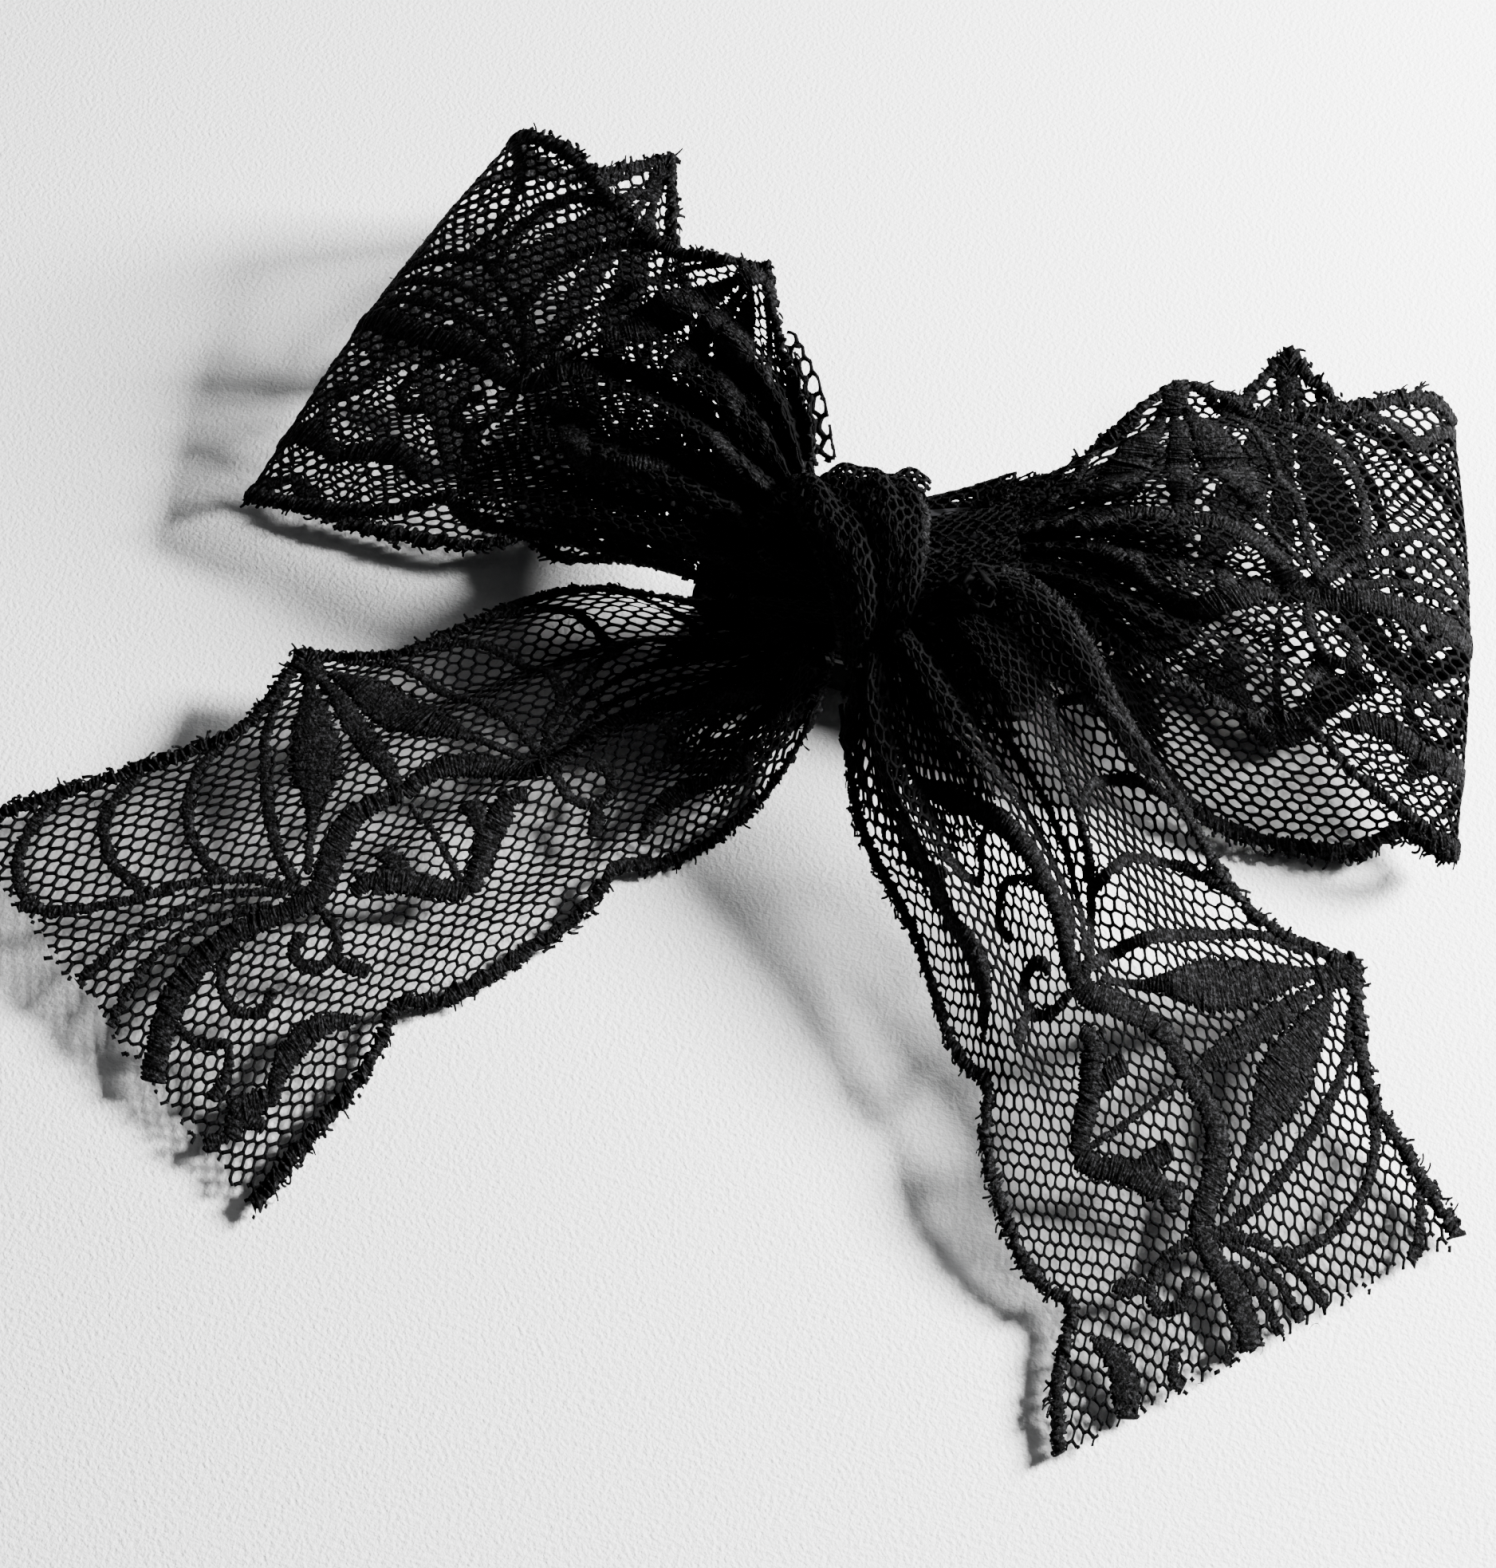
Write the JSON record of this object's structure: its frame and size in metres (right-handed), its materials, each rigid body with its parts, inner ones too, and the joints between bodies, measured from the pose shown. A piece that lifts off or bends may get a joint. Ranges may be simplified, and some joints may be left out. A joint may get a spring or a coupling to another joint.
{
  "type": "hair bow",
  "caption": "Lace ribbon hair bow with two loops, a wrapped knot and two tails, on a sprung alligator clip.",
  "frame": {"origin": "middle of the clip's flat outer back, on the plane that the bow lies on", "axes": "+X along the two loops towards the clip's jaw tip, +Y towards the top of the head, +Z out of the bow's face"},
  "size_m": [0.171, 0.1472, 0.0317],
  "materials": {
    "lace": "black polyester net with satin-stitch embroidery",
    "clip_steel": "black enamelled sheet steel",
    "spring_wire": "drawn spring wire",
    "liner_ribbon": "black ribbed ribbon",
    "sewing_thread": "black sewing thread"
  },
  "bodies": {
    "bow": {"loop_left_front": "lace", "loop_left_back": "lace", "loop_right_front": "lace", "loop_right_back": "lace", "tail_left": "lace", "tail_right": "lace", "knot_wrap": "lace", "throat_gather": "lace", "clip_top_plate": "clip_steel", "clip_pin": "clip_steel", "clip_spring": "spring_wire", "clip_liner": "liner_ribbon", "stitches": "sewing_thread"},
    "jaw": {"clip_lower_jaw": "clip_steel"}
  },
  "joints": [
    {"name": "jaw_hinge", "type": "hinge", "parent": "bow", "child": "jaw", "pos_m": [-0.007, 0, 0.0038], "axis": [0, 1, 0], "range_deg": [0, 25], "stiffness_Nm_per_rad": 0.12, "springref_deg": -22.92, "deforming": ["clip_spring"]}
  ]
}
